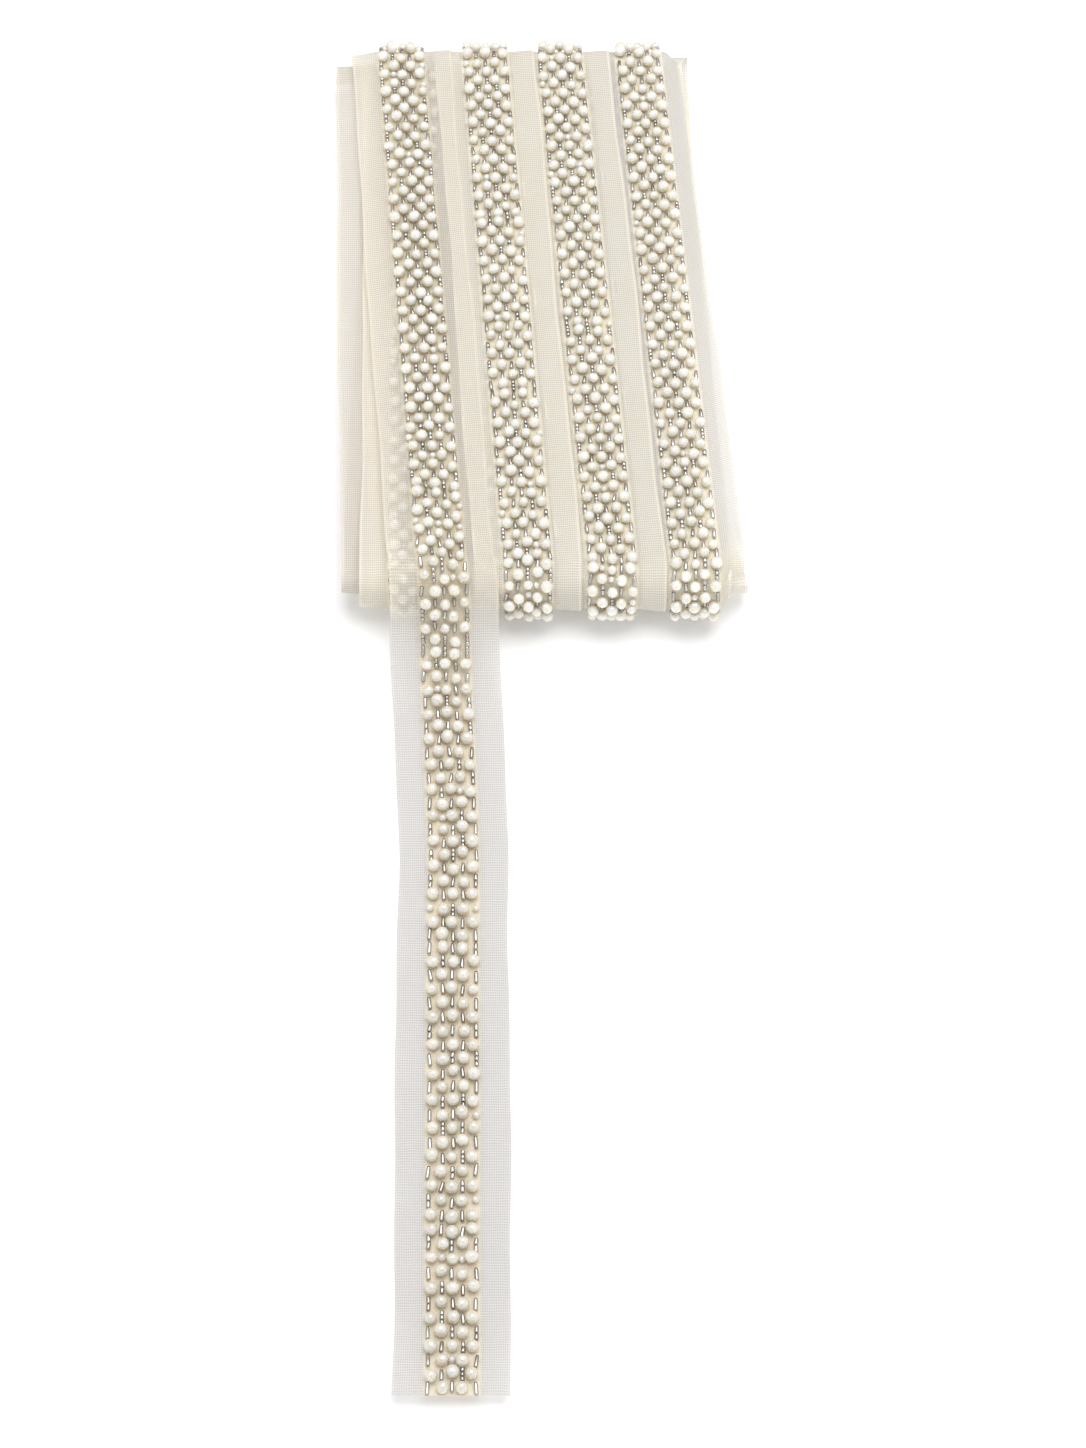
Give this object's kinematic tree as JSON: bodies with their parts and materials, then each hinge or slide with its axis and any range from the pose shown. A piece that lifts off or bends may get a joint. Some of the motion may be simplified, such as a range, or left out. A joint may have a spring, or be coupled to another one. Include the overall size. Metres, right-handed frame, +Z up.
{
  "type": "beaded lace trim hank",
  "caption": "Hank of sheer net ribbon trim with a raised band of pearl and bugle beads along its middle, wound flat round two folds, with one long loose end lying flat.",
  "frame": {"origin": "The middle of the footprint, on the surface that the trim lies on.", "axes": "+Z is up. +Y runs along the hank, from the loose end's cut edge to the hank's far fold. +X runs across the turns, to the right as seen from above with the loose end towards the viewer."},
  "size_m": [0.1058, 0.3729, 0.0224],
  "materials": {
    "net_ribbon": "sheer cream net with a fine square weave",
    "beads": "lustrous cream pearls with silver glass bugle beads between them"
  },
  "bodies": {
    "root": {"wound_ribbon": "net_ribbon", "band_front_1": "beads", "band_front_2": "beads", "band_front_3": "beads", "band_front_4": "beads", "band_back_1": "beads", "band_back_2": "beads", "band_back_3": "beads", "band_back_4": "beads", "band_back_5": "beads", "loose_end": "net_ribbon", "loose_end_band": "beads"}
  },
  "joints": []
}
